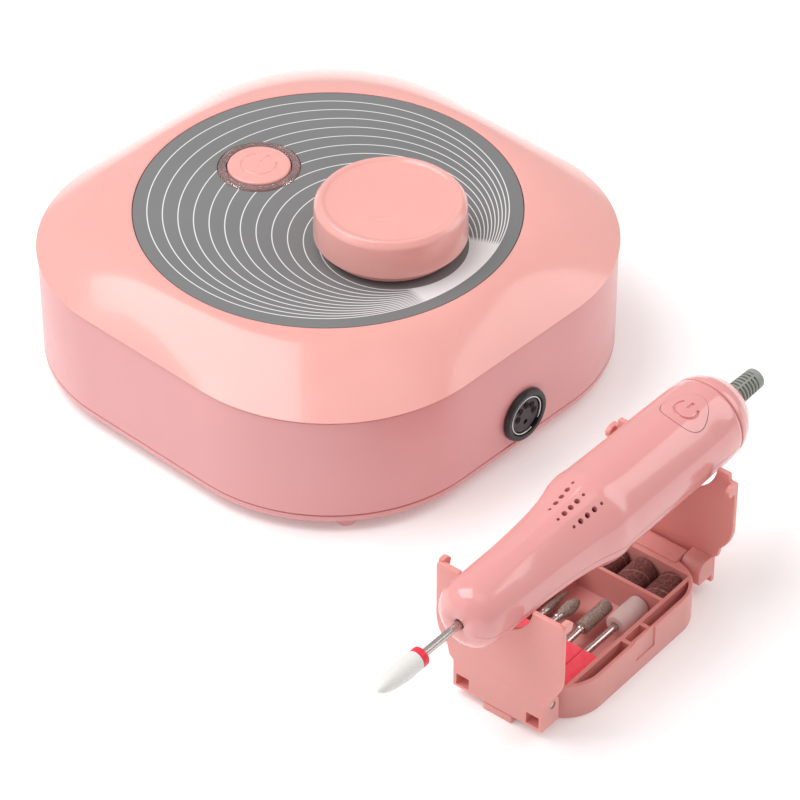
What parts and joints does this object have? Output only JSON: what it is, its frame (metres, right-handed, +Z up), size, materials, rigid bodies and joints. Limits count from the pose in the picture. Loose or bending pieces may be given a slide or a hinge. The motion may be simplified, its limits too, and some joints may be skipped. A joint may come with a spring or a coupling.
{
  "type": "electric nail drill set",
  "caption": "Rounded square control unit with a speed knob and power button, a tapered handpiece with a ceramic bit, and a folding bit case that is the handpiece rest.",
  "frame": {"origin": "middle of the whole set's bounding box, on the surface it stands on", "axes": "+Z up; -Y is the control unit's socket side, with the bit case in front of it; the handpiece's nose points towards -X"},
  "size_m": [0.2195, 0.2543, 0.0706],
  "materials": {
    "pink_gloss": "glossy",
    "pink_shell": "glossy",
    "panel_grey": "satin, printed rings",
    "clear_plastic": "clear",
    "black_plastic": "satin",
    "steel": "polished",
    "aluminium": "satin",
    "board_green": "solder mask",
    "sleeve_grey": "matt",
    "ceramic": "matt ceramic",
    "ring_red": "painted",
    "case_pink": "satin",
    "foam_red": "matt foam",
    "burr_grey": "diamond grit on steel",
    "drum_white": "translucent",
    "band_brown": "abrasive cloth"
  },
  "bodies": {
    "control_unit": {"top_cover": "pink_gloss", "side_shell": "pink_shell", "base_plate": "pink_shell", "foot_1": "pink_shell", "foot_2": "pink_shell", "foot_3": "pink_shell", "foot_4": "pink_shell", "cover_screw_1": "steel", "cover_screw_2": "steel", "cover_screw_3": "steel", "cover_screw_4": "steel", "panel_disc": "panel_grey", "light_ring": "clear_plastic", "led_board": "board_green", "power_switch": "black_plastic", "pot_body": "aluminium", "pot_nut": "steel", "socket_housing": "black_plastic", "socket_insert": "black_plastic", "socket_shield": "steel", "socket_nut": "steel", "power_inlet": "black_plastic", "inlet_nut": "steel", "main_board": "board_green", "heat_sink": "aluminium", "capacitor_1": "black_plastic", "capacitor_2": "black_plastic"},
    "knob": {"speed_knob": "pink_gloss", "pot_shaft": "aluminium"},
    "unit_button": {"power_button": "pink_gloss"},
    "bit_case": {"case_tray": "case_pink", "front_hinge_pin": "steel", "rear_hinge_pin": "steel", "foam_left": "foam_red", "foam_right": "foam_red", "cone_bit": "burr_grey", "flame_bit": "burr_grey", "barrel_bit": "burr_grey", "mandrel_shank": "steel", "mandrel_drum": "drum_white", "sanding_band_1": "band_brown", "sanding_band_2": "band_brown", "sanding_band_3": "band_brown"},
    "flap_front": {"front_flap": "case_pink"},
    "flap_rear": {"rear_flap": "case_pink"},
    "handpiece": {"upper_shell": "pink_gloss", "lower_shell": "pink_gloss", "end_cap": "pink_gloss", "cord_sleeve": "sleeve_grey", "handpiece_switch": "board_green", "motor_can": "steel", "front_bearing": "steel", "rear_bearing": "steel"},
    "spindle": {"motor_rotor": "steel", "cooling_fan": "black_plastic", "chuck": "steel", "bit_shank": "steel", "bit_ring": "ring_red", "bit_head": "ceramic"},
    "tool_button": {"handpiece_button": "pink_gloss"}
  },
  "joints": [
    {"name": "knob_turn", "type": "hinge", "parent": "control_unit", "child": "knob", "pos_m": [0.0297, 0.0199, 0.06], "axis": [0, 0, -1], "range_deg": [0, 300]},
    {"name": "unit_button_press", "type": "slide", "parent": "control_unit", "child": "unit_button", "axis": [0, 0, -1], "range_m": [0, 0.0015], "stiffness_N_per_m": 500, "springref_m": -0.001},
    {"name": "case_lift", "type": "slide", "parent": "control_unit", "child": "bit_case", "axis": [0, 0, 1], "range_m": [0, 0.1]},
    {"name": "front_flap_fold", "type": "hinge", "parent": "bit_case", "child": "flap_front", "pos_m": [-0.05481, -0.10455, 0.0102], "axis": [-0.0698, 0.9976, 0], "range_deg": [0, 90]},
    {"name": "rear_flap_fold", "type": "hinge", "parent": "bit_case", "child": "flap_rear", "pos_m": [0.01821, -0.09945, 0.0102], "axis": [0.0698, -0.9976, 0], "range_deg": [0, 90]},
    {"name": "handpiece_lift", "type": "slide", "parent": "bit_case", "child": "handpiece", "axis": [0, 0, 1], "range_m": [0, 0.12]},
    {"name": "spindle_spin", "type": "hinge", "parent": "handpiece", "child": "spindle", "pos_m": [-0.04634, -0.10299, 0.04653], "axis": [0.9988, 0.0436, 0.0209], "continuous": true},
    {"name": "tool_button_press", "type": "slide", "parent": "handpiece", "child": "tool_button", "axis": [0.013, 0.1744, -0.9846], "range_m": [0, 0.0009], "stiffness_N_per_m": 500, "springref_m": -0.0003}
  ]
}
